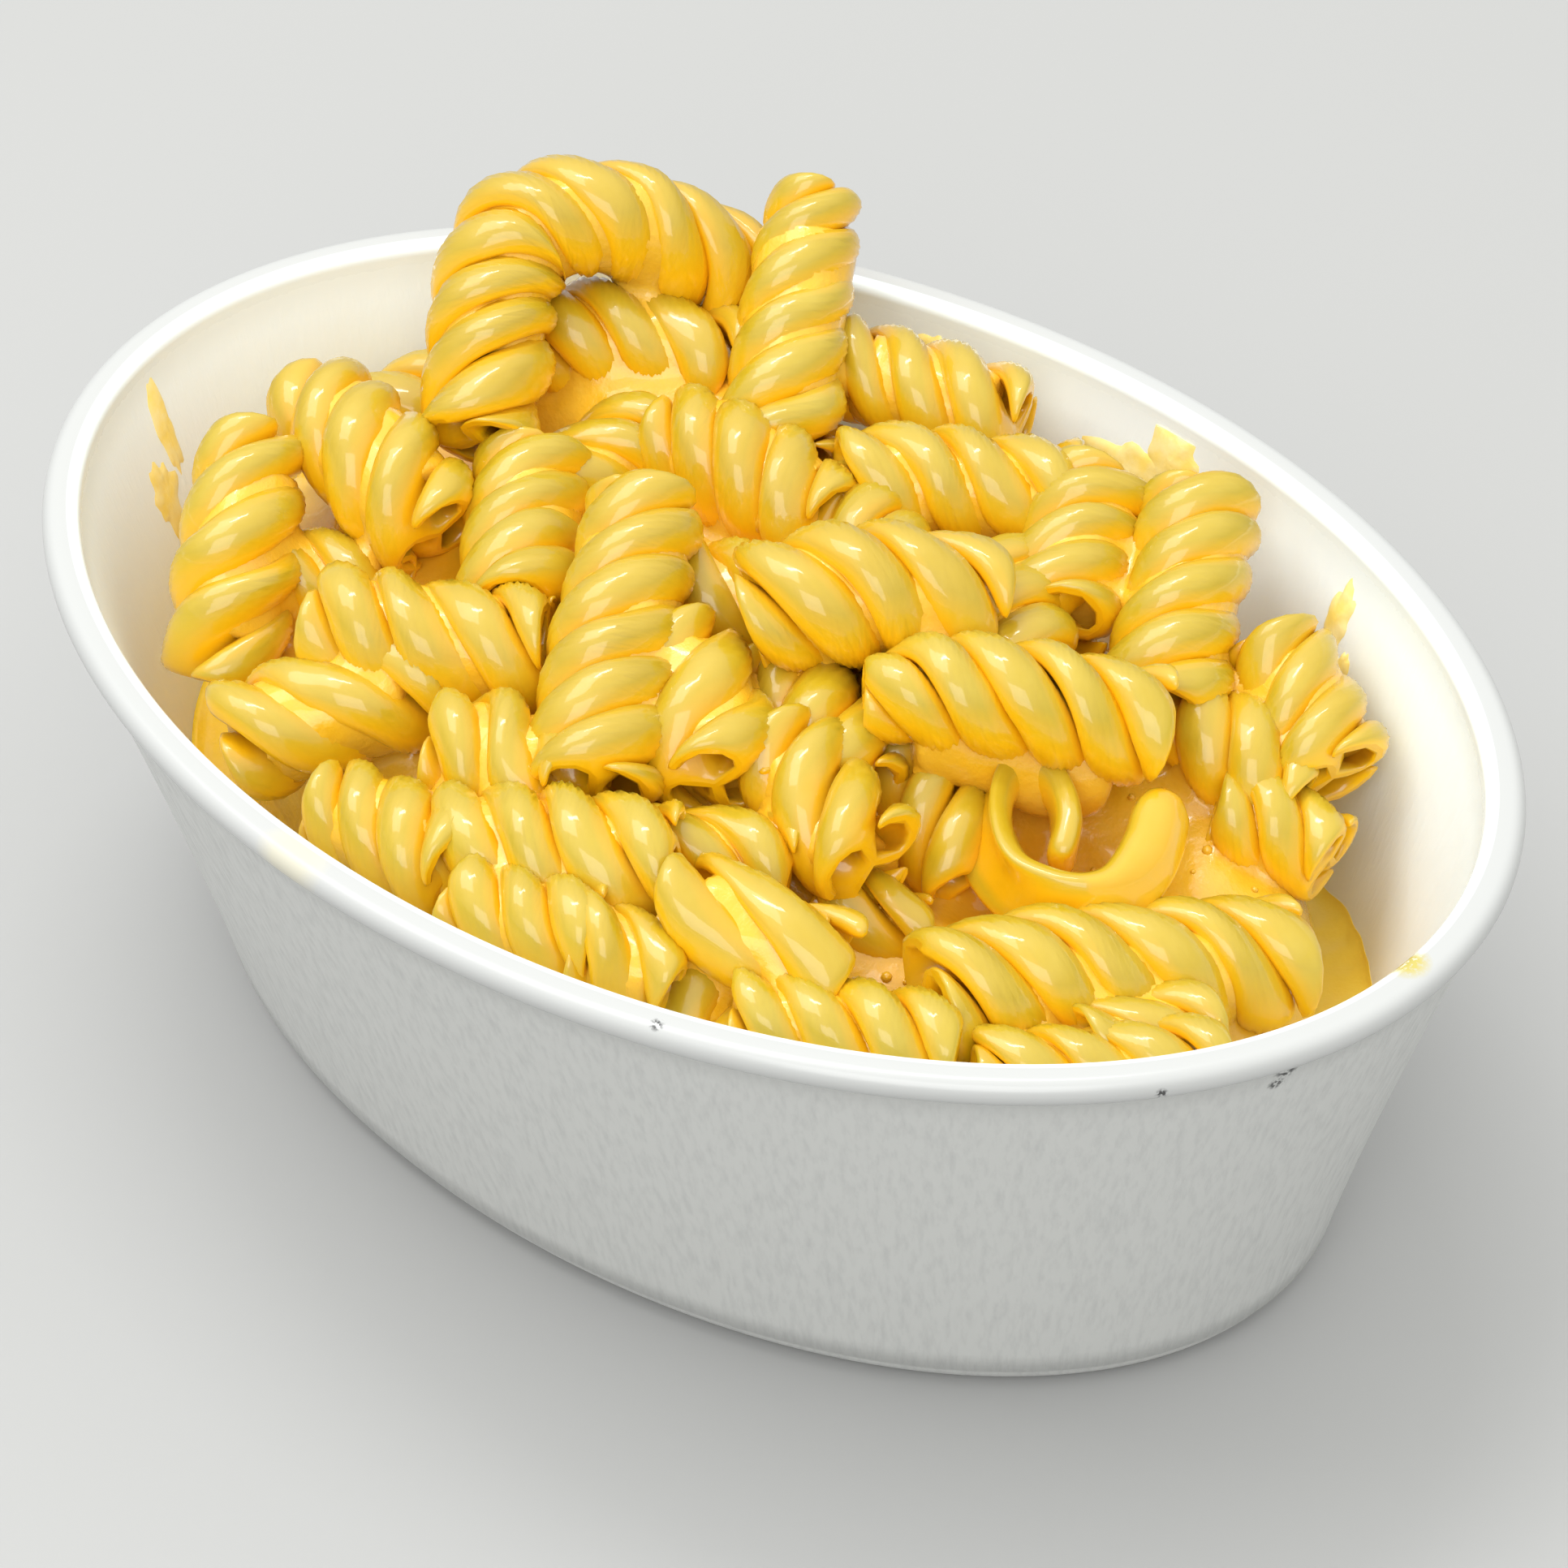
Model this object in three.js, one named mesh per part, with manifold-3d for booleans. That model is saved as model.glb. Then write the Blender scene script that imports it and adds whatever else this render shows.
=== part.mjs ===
// A serving of macaroni and cheese: spiral pasta heaped in an oval side dish.
// Millimetres. The dish stands flat on z = 0, its long way runs along X and +Z is up.
import * as THREE from "three";
import { mergeVertices } from "three/addons/utils/BufferGeometryUtils.js";
import Module from "manifold-3d";

const wasm = await Module();
wasm.setup();

// Driving dimensions of the dish
const DISH_LENGTH = 146;
const DISH_WIDTH = 101;
const DISH_HEIGHT = 50;
const WALL = 2.4;
const FLOOR = 2.6;
const FLARE = 11.3; // how far the wall leans out, the same all the way round
const FLARE_CURVE = 1.16;
const RIM_OVERHANG = 1.1; // how far the rolled rim stands out from the wall
const RIM_TALL = 2.6;
const FOOT_ROUND = 3.2;
const DISH_SIDES = 56;

// Driving dimensions of the food
const SAUCE_LEVEL = 19;
const GAP = 0.3;
const TWIST_STEP = 47; // degrees of twist between two rings of a pasta spiral
const GROOVE = 0.72; // radius at the groove between two fins, as a share of the full radius
const CORE_SLOPE = 0.09;
const FILLERS = 5;

const halfLength = DISH_LENGTH / 2;
const halfWidth = DISH_WIDTH / 2;
const footRadius = halfLength - RIM_OVERHANG - FLARE;
const wallTop = DISH_HEIGHT - RIM_TALL;
const degrees = Math.PI / 180;

// Half the outer length of the dish at a height
function outerRadius(z) {
  const share = Math.min(Math.max(z / wallTop, 0), 1);
  return footRadius + FLARE * Math.pow(share, FLARE_CURVE);
}

// Half the length of the hollow at a height
function innerRadius(z) {
  return outerRadius(z) - WALL;
}

// Turns a round form into the oval: near the wall both half-axes differ by the same amount
function makeOval(geometry) {
  const narrower = halfLength - halfWidth;
  const place = geometry.attributes.position;
  const inner = footRadius - 8;
  for (let i = 0; i < place.count; i++) {
    const x = place.getX(i);
    const y = -place.getZ(i);
    const z = place.getY(i);
    const radius = Math.hypot(x, y);
    const scale = 1 - narrower / Math.max(radius, inner);
    place.setXYZ(i, x, y * scale, z);
  }
  return geometry;
}

// A profile of [radius, height] pairs, closed on itself or on the axis, turned into an oval body
function ovalBody(profile, sides) {
  const points = profile.map(([r, z]) => new THREE.Vector2(r, z));
  return solidOf(makeOval(new THREE.LatheGeometry(points, sides)));
}

function solidOf(geometry) {
  const bare = geometry.clone();
  bare.deleteAttribute("normal");
  bare.deleteAttribute("uv");
  const merged = mergeVertices(bare, 1e-4);
  const made = new wasm.Manifold(
    new wasm.Mesh({
      numProp: 3,
      vertProperties: new Float32Array(merged.attributes.position.array),
      triVerts: new Uint32Array(merged.index.array),
    }),
  );
  return made;
}

function geometryOf(solid) {
  const mesh = solid.getMesh();
  const geometry = new THREE.BufferGeometry();
  const places = new THREE.BufferAttribute(new Float32Array(mesh.vertProperties), 3);
  geometry.setAttribute("position", places);
  geometry.setIndex(new THREE.BufferAttribute(new Uint32Array(mesh.triVerts), 1));
  geometry.computeVertexNormals();
  return geometry;
}

// The dish: flat foot, rounded lower edge, flared wall and a rolled rim
function dishProfile() {
  const rimOut = halfLength;
  const rimMiddle = DISH_HEIGHT - RIM_TALL / 2;
  const rimIn = innerRadius(DISH_HEIGHT);
  return [
    [0, 0],
    [footRadius - FOOT_ROUND, 0],
    [footRadius - FOOT_ROUND * 0.3, FOOT_ROUND * 0.3],
    [outerRadius(FOOT_ROUND), FOOT_ROUND],
    [outerRadius(14), 14],
    [outerRadius(26), 26],
    [outerRadius(38), 38],
    [outerRadius(wallTop - 0.4), wallTop - 0.4],
    [rimOut - 0.5, wallTop],
    [rimOut, rimMiddle],
    [rimOut - 0.5, DISH_HEIGHT - 0.4],
    [rimOut - 1.6, DISH_HEIGHT],
    [rimIn + 0.5, DISH_HEIGHT - 0.4],
    [rimIn - 0.1, rimMiddle - 0.4],
    [innerRadius(38), 38],
    [innerRadius(26), 26],
    [innerRadius(14), 14],
    [innerRadius(FLOOR + 3), FLOOR + 3],
    [innerRadius(FLOOR) - 1, FLOOR + 0.9],
    [innerRadius(FLOOR) - 3.4, FLOOR],
    [0, FLOOR],
  ];
}

// The cheese sauce: fills the dish to the level that shows against the wall at its right end
function sauceProfile() {
  return [
    [0, FLOOR + GAP],
    [innerRadius(FLOOR) - 3.9, FLOOR + GAP],
    [innerRadius(FLOOR) - 1.5, FLOOR + 1.3],
    [innerRadius(FLOOR + 3) - 0.45, FLOOR + 3],
    [innerRadius(14) - 0.4, 14],
    [innerRadius(SAUCE_LEVEL) - 0.4, SAUCE_LEVEL + 0.8],
    [innerRadius(SAUCE_LEVEL) - 2.5, SAUCE_LEVEL],
    [0, SAUCE_LEVEL],
  ];
}

// One pasta spiral: three fins wound right-handed round a line, cut flat at both ends
function spiral({ at, yaw, rise, long, wide, lead, bow }, turned) {
  const rings = Math.max(3, Math.ceil(((long / lead) * 360) / TWIST_STEP));
  const along = new THREE.Vector3(
    Math.cos(yaw * degrees) * Math.cos(rise * degrees),
    Math.sin(yaw * degrees) * Math.cos(rise * degrees),
    Math.sin(rise * degrees),
  );
  const side = new THREE.Vector3(-Math.sin(yaw * degrees), Math.cos(yaw * degrees), 0);
  const over = new THREE.Vector3().crossVectors(along, side);
  const places = [];
  const faces = [];
  for (let i = 0; i <= rings; i++) {
    const share = i / rings;
    const reach = share - 0.5;
    const middle = new THREE.Vector3(...at);
    middle.addScaledVector(along, reach * long);
    middle.addScaledVector(over, bow * (1 - 4 * reach * reach));
    for (let k = 0; k < 6; k++) {
      const fin = Math.floor(k / 2) * 120 + (k % 2) * 80;
      const angle = (fin + turned + (share * long * 360) / lead) * degrees;
      const radius = (wide / 2) * (k % 2 ? GROOVE : 1);
      const point = middle.clone();
      point.addScaledVector(side, radius * Math.cos(angle));
      point.addScaledVector(over, radius * Math.sin(angle));
      places.push(point.x, point.y, point.z);
    }
    for (let k = 0; i < rings && k < 6; k++) {
      const a = i * 6 + k;
      const b = i * 6 + ((k + 1) % 6);
      faces.push(a, b, a + 6, b, b + 6, a + 6);
    }
  }
  const last = rings * 6;
  for (let k = 1; k < 5; k++) {
    faces.push(0, k + 1, k);
    faces.push(last, last + k, last + k + 1);
  }
  const geometry = new THREE.BufferGeometry();
  geometry.setAttribute("position", new THREE.Float32BufferAttribute(places, 3));
  geometry.setIndex(faces);
  return solidOf(geometry);
}

// Where the spirals lie. at: middle, mm. yaw: turn about +Z from +X. rise: slope of its far end.
// long and wide: size. lead: length of one full turn of the fins. bow: how far its middle lifts.
const backLeft = [
  { at: [-42, 14, 54], yaw: -56, rise: -54, long: 20, wide: 12.4, lead: 16, bow: 1 },
  { at: [-37, 24, 58], yaw: 55, rise: -23, long: 21, wide: 12.4, lead: 17, bow: 5 },
  { at: [-32, 22, 50], yaw: 32, rise: -5, long: 18, wide: 12, lead: 30, bow: 1 },
  { at: [-19, 30, 55], yaw: -61, rise: -32, long: 27, wide: 12, lead: 16, bow: 0 },
  { at: [-26, 9, 47], yaw: 76, rise: 0, long: 15, wide: 11, lead: 26, bow: 0 },
];
const backRight = [
  { at: [-8, 36, 48], yaw: 15, rise: -9, long: 19, wide: 11.6, lead: 26, bow: 0 },
  { at: [-13, 15, 48], yaw: -2, rise: -5, long: 19, wide: 12.4, lead: 26, bow: 0 },
  { at: [3, 26, 48], yaw: 36, rise: -4, long: 22, wide: 12, lead: 30, bow: 0 },
  { at: [16, 27, 46], yaw: -69, rise: -11, long: 17, wide: 12, lead: 14, bow: 0 },
  { at: [27, 28, 45], yaw: -65, rise: -18, long: 22, wide: 12, lead: 15, bow: 1 },
  { at: [41, 27, 41], yaw: -31, rise: -20, long: 14, wide: 11.6, lead: 15, bow: 0 },
];
const leftEnd = [
  { at: [-41, -5, 48], yaw: -17, rise: -3, long: 23, wide: 12.4, lead: 24, bow: 2 },
  { at: [-45, -19, 44], yaw: -58, rise: -31, long: 23, wide: 12, lead: 18, bow: 2 },
  { at: [-37, -14, 42], yaw: 25, rise: 0, long: 12, wide: 10, lead: 18, bow: 0 },
  { at: [-21, -19, 47], yaw: 27, rise: 0, long: 21, wide: 12.4, lead: 30, bow: 0 },
  { at: [-25, -28, 42], yaw: 54, rise: 10, long: 18, wide: 12, lead: 30, bow: 0 },
];
const middle = [
  { at: [-23, -4, 48], yaw: -52, rise: -8, long: 20, wide: 12, lead: 15, bow: 0 },
  { at: [-5, -12, 50], yaw: -59, rise: -17, long: 31, wide: 12.4, lead: 16, bow: 0 },
  { at: [4, -12, 47], yaw: -38, rise: -11, long: 16, wide: 12, lead: 24, bow: 0 },
  { at: [9, 5, 50], yaw: 46, rise: -4, long: 21, wide: 13, lead: 22, bow: 1 },
  { at: [25, 5, 47], yaw: 38, rise: -9, long: 26, wide: 12, lead: 16, bow: 1 },
  { at: [18, -12, 44], yaw: -22, rise: -5, long: 16, wide: 11.6, lead: 22, bow: 0 },
  { at: [14, -21, 42], yaw: 39, rise: -9, long: 12, wide: 9.4, lead: 20, bow: 0 },
  { at: [22, -2, 39], yaw: -26, rise: -21, long: 16, wide: 10, lead: 24, bow: 0 },
];
const rightEnd = [
  { at: [39, 20, 39], yaw: -1, rise: -17, long: 13, wide: 10, lead: 26, bow: 0 },
  { at: [45, 17, 36], yaw: 14, rise: -11, long: 11, wide: 9.6, lead: 20, bow: 0 },
  { at: [44, -6, 37], yaw: 59, rise: -12, long: 35, wide: 12.4, lead: 20, bow: 1 },
  { at: [51, -12, 36], yaw: 59, rise: -10, long: 12, wide: 10, lead: 16, bow: 0 },
  { at: [51, -18, 37], yaw: 45, rise: -4, long: 21, wide: 9.4, lead: 16, bow: 0 },
];
const front = [
  { at: [34, -30, 40], yaw: 29, rise: -4, long: 19, wide: 10.4, lead: 16, bow: 0 },
  { at: [25, -14, 37], yaw: 17, rise: -14, long: 9, wide: 8, lead: 20, bow: 0 },
  { at: [21, -33, 38], yaw: -37, rise: -13, long: 10, wide: 9, lead: 40, bow: 0 },
  { at: [16, -36, 42], yaw: 20, rise: -13, long: 10, wide: 10, lead: 24, bow: 0 },
  { at: [23, -28, 43], yaw: 17, rise: -13, long: 15, wide: 11, lead: 40, bow: 1 },
  { at: [7, -38, 43], yaw: 17, rise: 0, long: 13, wide: 10, lead: 14, bow: 0 },
  { at: [-9, -37, 43], yaw: 6, rise: 0, long: 15, wide: 11.2, lead: 14, bow: 0 },
  { at: [4, -31, 44], yaw: 25, rise: 4, long: 22, wide: 12.4, lead: 16, bow: 0 },
  { at: [-6, -26, 45], yaw: 10, rise: 0, long: 14, wide: 12, lead: 18, bow: 0 },
];

const farSide = [
  { at: [-44, 24, 40], yaw: 35, rise: 0, long: 19, wide: 12, lead: 16, bow: 1 },
  { at: [-27, 32, 41], yaw: 14, rise: 4, long: 17, wide: 12, lead: 18, bow: 1 },
  { at: [-55, 9, 37], yaw: 70, rise: 0, long: 18, wide: 12, lead: 17, bow: 1 },
];

// The opened spiral at the right: one broad fin curled like a heart
function openCurl() {
  const path = new THREE.CatmullRomCurve3([
    new THREE.Vector3(31, 5, 42),
    new THREE.Vector3(28, 0, 42),
    new THREE.Vector3(32, -6, 41),
    new THREE.Vector3(40, -8, 40),
    new THREE.Vector3(43, -2, 40),
    new THREE.Vector3(39, 5, 41),
  ]);
  const band = new THREE.Shape();
  band.absellipse(0, 0, 3.2, 2.2, 0, Math.PI * 2);
  const settings = { steps: 12, curveSegments: 3, extrudePath: path };
  return solidOf(new THREE.ExtrudeGeometry(band, settings));
}

// A repeatable number from 0 to 1
function scatter(n) {
  const value = Math.sin(n * 12.9898 + 4.1) * 43758.5453;
  return value - Math.floor(value);
}

// Lower spirals that fill the gaps the others leave
function fillers(others, wanted) {
  const found = [];
  for (let i = 0; i < 200 && found.length < wanted; i++) {
    const around = scatter(i) * 2 * Math.PI;
    const out = Math.sqrt(scatter(i + 300)) * 0.88;
    const x = Math.cos(around) * out * 55;
    const y = Math.sin(around) * out * 36;
    const z = 44.5 - 6 * Math.pow(out, 4) + (y - x) * CORE_SLOPE;
    const near = [...others, ...found].some(
      ({ at }) => Math.hypot(at[0] - x, at[1] - y, (at[2] - z) / 2) < 10,
    );
    if (near) continue;
    const yaw = around / degrees + 90 + (scatter(i + 600) - 0.5) * 60;
    const long = 15 + scatter(i + 900) * 5;
    found.push({ at: [x, y, z], yaw, rise: 0, long, wide: 11.6, lead: 17, bow: 1 });
  }
  return found;
}

// The sauce-bound middle of the heap, which the spirals lie on and sink into.
// It slopes down from the back left to the front right.
function core() {
  const bottom = SAUCE_LEVEL + GAP;
  const mound = ovalBody(
    [
      [0, bottom],
      [57, bottom],
      [57.5, 27],
      [55, 34],
      [47, 38.5],
      [26, 41.5],
      [0, 42.5],
    ],
    28,
  ).warp((v) => {
    if (v[2] > 30) v[2] += (v[1] - v[0]) * CORE_SLOPE;
  });
  const hump = new THREE.SphereGeometry(1, 14, 8);
  hump.scale(20, 13, 13);
  hump.rotateZ(25 * degrees);
  hump.translate(-30, 22, 39);
  return mound.add(solidOf(hump));
}

const nearer = [...leftEnd, ...middle, ...rightEnd, ...front];
const placed = [...backLeft, ...backRight, ...nearer, ...farSide];
const all = [...placed, ...fillers(placed, FILLERS)];
const spirals = all.map((piece, i) => spiral(piece, (i * 47) % 120));
const joined = wasm.Manifold.union([core(), openCurl(), ...spirals]);

// Small closed pockets between the spirals are left solid
const heap = joined.decompose().reduce((a, b) => (a.volume() > b.volume() ? a : b));

const build = new THREE.Group();

function addNode(name, solid, colour, roughness) {
  const material = new THREE.MeshStandardMaterial({ color: colour, roughness, metalness: 0 });
  const mesh = new THREE.Mesh(geometryOf(solid), material);
  mesh.name = name;
  build.add(mesh);
}

addNode("dish", ovalBody(dishProfile(), DISH_SIDES), 0xeeeeea, 0.35);
addNode("cheese_sauce", ovalBody(sauceProfile(), DISH_SIDES / 2), 0xe0a02c, 0.3);
addNode("rotini_heap", heap, 0xe8bc48, 0.35);

export default build;
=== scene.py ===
# Macaroni and cheese: rotini in cheese sauce, heaped in a white oval side dish of melamine.
# Metres throughout; sizes and places listed as mm are in millimetres.
import math

import bpy
from mathutils import Matrix, Vector, noise


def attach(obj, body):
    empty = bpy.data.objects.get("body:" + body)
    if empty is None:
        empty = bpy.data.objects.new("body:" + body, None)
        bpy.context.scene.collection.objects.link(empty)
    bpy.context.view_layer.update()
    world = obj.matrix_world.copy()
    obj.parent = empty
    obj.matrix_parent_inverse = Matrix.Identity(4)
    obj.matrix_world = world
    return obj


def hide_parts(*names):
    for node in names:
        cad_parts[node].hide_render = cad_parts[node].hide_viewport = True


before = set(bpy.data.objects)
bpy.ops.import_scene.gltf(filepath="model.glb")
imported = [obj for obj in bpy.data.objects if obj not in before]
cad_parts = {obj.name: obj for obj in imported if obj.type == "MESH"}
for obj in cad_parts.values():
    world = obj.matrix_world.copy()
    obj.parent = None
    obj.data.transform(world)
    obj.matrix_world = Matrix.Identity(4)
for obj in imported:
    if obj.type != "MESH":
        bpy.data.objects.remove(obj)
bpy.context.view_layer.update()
scene = bpy.context.scene
MM = 0.001

# ---- The dish --------------------------------------------------------------------------------
# One moulded piece of white melamine: a flat foot, a wall that flares evenly all round, and a
# rolled rim. Years of washing and stacking have left it satin outside and finely scratched.
DISH_LENGTH = 0.146
DISH_WIDTH = 0.101
DISH_HEIGHT = 0.050
WALL = 0.0024
FLOOR = 0.0026
FLARE = 0.0113  # how far the wall leans out, from foot to rim
FLARE_CURVE = 1.16
RIM_OVERHANG = 0.0011
RIM_TALL = 0.0026
RIM_ROUND = 1.3 * MM
RIM_INNER_ROUND = 1.2 * MM
FOOT_ROUND = 0.0032
HOLLOW_ROUND = 4 * MM  # inside, where the wall meets the floor
DISH_SIDES = 224
WALL_STEPS = 16

foot_radius = DISH_LENGTH / 2 - RIM_OVERHANG - FLARE
wall_top = DISH_HEIGHT - RIM_TALL
narrower = (DISH_LENGTH - DISH_WIDTH) / 2


def outer_radius(z):
    share = min(max(z / wall_top, 0.0), 1.0)
    return foot_radius + FLARE * share**FLARE_CURVE


def inner_radius(z):
    return outer_radius(z) - WALL


def oval_point(radius, turn, z):
    """A point of the oval: near the wall, both half-axes differ by the same amount."""
    squash = 1 - narrower / max(radius, foot_radius - 8 * MM)
    return Vector((radius * math.cos(turn), radius * math.sin(turn) * squash, z))


def pole_faces(rings, around):
    """Faces over rings of points that have one single point before and one after them."""
    faces = []
    last = 1 + (rings - 1) * around
    for i in range(around):
        j = (i + 1) % around
        faces.append((0, 1 + j, 1 + i))
        for a in range(1, last, around):
            faces.append((a + i, a + j, a + around + j, a + around + i))
        faces.append((last + i, last + j, last + around))
    return faces


def smooth_mesh(name, points, faces):
    mesh = bpy.data.meshes.new(name)
    mesh.from_pydata(points, [], faces)
    mesh.shade_smooth()
    return mesh


def turned_mesh(name, profile, sides):
    """A closed body from a profile that starts and ends on the axis."""
    points = [Vector((0, 0, profile[0][1]))]
    rings = profile[1:-1]
    for radius, z in rings:
        points += [oval_point(radius, 2 * math.pi * i / sides, z) for i in range(sides)]
    points.append(Vector((0, 0, profile[-1][1])))
    return smooth_mesh(name, points, pole_faces(len(rings), sides))


def add_piece(name, mesh):
    piece = bpy.data.objects.new(name, mesh)
    scene.collection.objects.link(piece)
    return piece


def arc(cx, cz, rx, rz, start, end, steps):
    """Points of a quarter or half round, angles in degrees."""
    turns = [math.radians(start + (end - start) * i / steps) for i in range(steps + 1)]
    return [(cx + rx * math.cos(a), cz + rz * math.sin(a)) for a in turns]


def dish_profile():
    rim_out = DISH_LENGTH / 2
    rim_in = inner_radius(DISH_HEIGHT)
    rim_z = DISH_HEIGHT - RIM_TALL / 2
    hollow_foot = FLOOR + HOLLOW_ROUND
    steps = range(WALL_STEPS + 1)
    heights = [FOOT_ROUND + (wall_top - 0.7 * MM - FOOT_ROUND) * i / WALL_STEPS for i in steps]
    down = [wall_top - (wall_top - hollow_foot) * i / WALL_STEPS for i in steps]
    low = inner_radius(hollow_foot)
    return (
        [(0, 0), (foot_radius * 0.5, 0), (foot_radius - FOOT_ROUND - 1 * MM, 0)]
        + arc(foot_radius - FOOT_ROUND, FOOT_ROUND, FOOT_ROUND, FOOT_ROUND, -90, -6, 7)
        + [(outer_radius(z), z) for z in heights]
        + [(outer_radius(wall_top) + 0.15 * MM, wall_top - 0.25 * MM)]
        + arc(rim_out - RIM_ROUND, rim_z, RIM_ROUND, RIM_TALL / 2, -62, 90, 12)
        + arc(rim_in + RIM_INNER_ROUND, DISH_HEIGHT - RIM_ROUND, RIM_INNER_ROUND, RIM_ROUND, 90, 180, 8)
        + [(inner_radius(z), z) for z in down]
        + arc(low - HOLLOW_ROUND, hollow_foot, HOLLOW_ROUND, HOLLOW_ROUND, -10, -90, 7)
        + [(foot_radius * 0.5, FLOOR), (0, FLOOR)]
    )


def new_material(name):
    material = bpy.data.materials.new(name)
    material.use_nodes = True
    tree = material.node_tree
    tree.nodes.clear()
    shader = tree.nodes.new("ShaderNodeBsdfPrincipled")
    out = tree.nodes.new("ShaderNodeOutputMaterial")
    tree.links.new(shader.outputs[0], out.inputs[0])
    return material, tree, shader


def feed(tree, node, inputs):
    """Links or sets inputs of a node: each is given a socket, a number or a colour."""
    for label, given in inputs.items():
        socket = node.inputs[label]
        if isinstance(given, bpy.types.NodeSocket):
            tree.links.new(given, socket)
        elif socket.type == "RGBA":
            socket.default_value = (*given, 1.0)
        else:
            socket.default_value = given


def add_node(tree, kind, inputs, **settings):
    made = tree.nodes.new(kind)
    for label, setting in settings.items():
        setattr(made, label, setting)
    feed(tree, made, inputs)
    return made


def add_noise(tree, where, scale, detail=3.0, stretch=None):
    """Noise on a vector socket; stretch squeezes or draws it out along each axis."""
    if stretch:
        where = add_node(tree, "ShaderNodeMapping", {"Scale": stretch, "Vector": where}).outputs[0]
    wanted = {"Scale": scale, "Detail": detail, "Roughness": 0.55, "Vector": where}
    return add_node(tree, "ShaderNodeTexNoise", wanted).outputs["Fac"]


def add_range(tree, value, from_low, from_high, to_low=0.0, to_high=1.0):
    wanted = {0: value, 1: from_low, 2: from_high, 3: to_low, 4: to_high}
    return add_node(tree, "ShaderNodeMapRange", wanted).outputs[0]


def add_mix(tree, share, first, second):
    """Mixes two colours, each a tuple or a socket."""
    return add_node(tree, "ShaderNodeMix", {0: share, 6: first, 7: second}, data_type="RGBA").outputs[2]


def add_math(tree, kind, *values):
    return add_node(tree, "ShaderNodeMath", dict(enumerate(values)), operation=kind).outputs[0]


def add_vector_math(tree, kind, inputs):
    return add_node(tree, "ShaderNodeVectorMath", inputs, operation=kind).outputs


def add_bump(tree, height, strength, distance):
    wanted = {"Strength": strength, "Distance": distance, "Height": height}
    return add_node(tree, "ShaderNodeBump", wanted).outputs[0]


def object_place(tree):
    return tree.nodes.new("ShaderNodeTexCoord").outputs["Object"]


def facing(tree):
    return tree.nodes.new("ShaderNodeNewGeometry").outputs["Normal"]


def upward_part(tree, vector):
    return add_node(tree, "ShaderNodeSeparateXYZ", {0: vector}).outputs["Z"]


def near_spot(tree, where, spot, reach):
    """1 at a spot on the piece, falling to 0 at its reach."""
    gap = add_vector_math(tree, "DISTANCE", {0: where, 1: spot})["Value"]
    return add_range(tree, gap, reach, reach * 0.45)


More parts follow.
